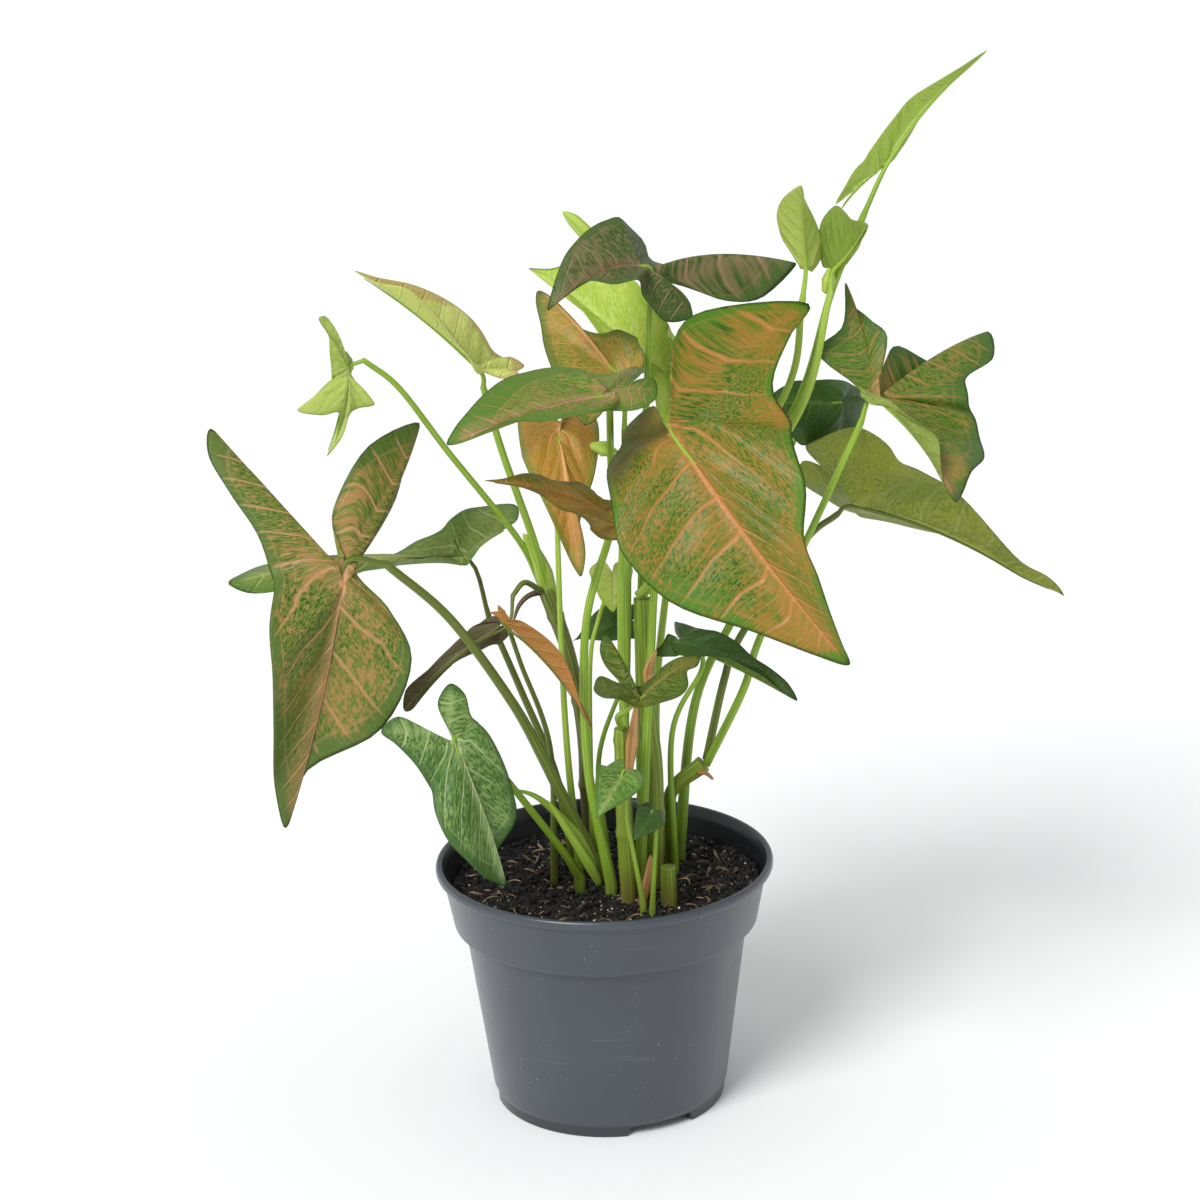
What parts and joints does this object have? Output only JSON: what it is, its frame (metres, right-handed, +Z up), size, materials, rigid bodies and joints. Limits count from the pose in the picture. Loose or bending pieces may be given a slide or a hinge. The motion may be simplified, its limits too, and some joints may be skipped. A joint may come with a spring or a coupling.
{
  "type": "potted arrowhead plant",
  "caption": "Arrowhead plant with variegated arrow-shaped leaves on long petioles, in a round plastic nursery pot of soil.",
  "frame": {"origin": "centre of the pot's foot, on the surface it stands on", "axes": "+Z up along the pot's axis, -Y towards the front of the plant, +X to the right seen from the front"},
  "size_m": [0.2933, 0.1494, 0.3697],
  "materials": {
    "pot_plastic": "satin moulded plastic, dark slate grey",
    "soil": "dark crumbly potting soil",
    "leaf": "satin leaf, green mottled with tan and pink",
    "young_leaf": "satin young leaf, lime green",
    "cane": "smooth green cane"
  },
  "bodies": {
    "root": {"pot": "pot_plastic", "soil": "soil", "cane_left": "cane", "cane_centre": "cane", "cane_front": "cane", "cane_right": "cane", "cane_stub": "cane", "leaf_amber": "leaf", "leaf_basal": "leaf", "leaf_basal_dark": "leaf", "leaf_boat": "leaf", "leaf_chartreuse": "young_leaf", "leaf_crown": "leaf", "leaf_dark_back": "leaf", "leaf_dark_right": "leaf", "leaf_drooping": "leaf", "leaf_front": "leaf", "leaf_furled_left": "young_leaf", "leaf_furled_top": "young_leaf", "leaf_left_back": "leaf", "leaf_left_hanging": "leaf", "leaf_lime": "young_leaf", "leaf_lower_right": "leaf", "leaf_nodding": "young_leaf", "leaf_olive": "leaf", "leaf_peach": "leaf", "leaf_right": "leaf", "leaf_right_shade": "leaf", "leaf_rim": "leaf", "leaf_shelf": "leaf", "leaf_spoon_left": "young_leaf", "leaf_spoon_right": "young_leaf", "leaf_withered": "leaf"}
  },
  "joints": []
}
